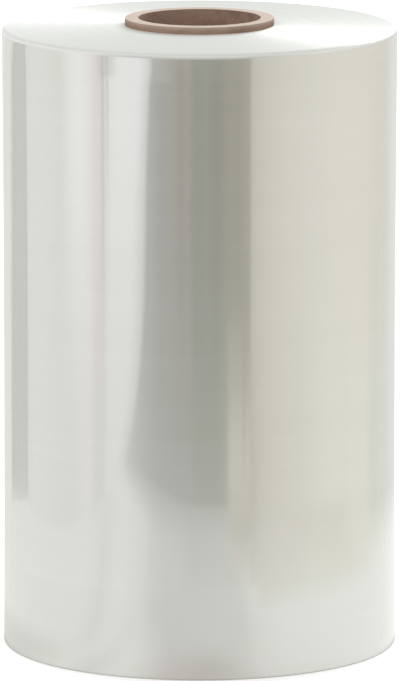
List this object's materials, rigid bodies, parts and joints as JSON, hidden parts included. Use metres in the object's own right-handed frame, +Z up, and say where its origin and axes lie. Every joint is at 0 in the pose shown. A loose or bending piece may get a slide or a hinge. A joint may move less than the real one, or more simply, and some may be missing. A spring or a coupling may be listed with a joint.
{
  "type": "sealing film roll",
  "caption": "Roll of clear glossy sealing film wound on a brown paperboard core open from end to end, standing on one end of the core.",
  "frame": {"origin": "on the core's axis, in the plane of the core's lower end, which the roll stands on", "axes": "+Z up the core's axis; X and Y across the roll"},
  "size_m": [0.2474, 0.2474, 0.4],
  "materials": {
    "core": "uncoated brown paperboard, paler where it is sawn",
    "film": "clear film, glossy on the side and satin on the wound ends"
  },
  "bodies": {
    "root": {"core": "core", "film": "film"}
  },
  "joints": []
}
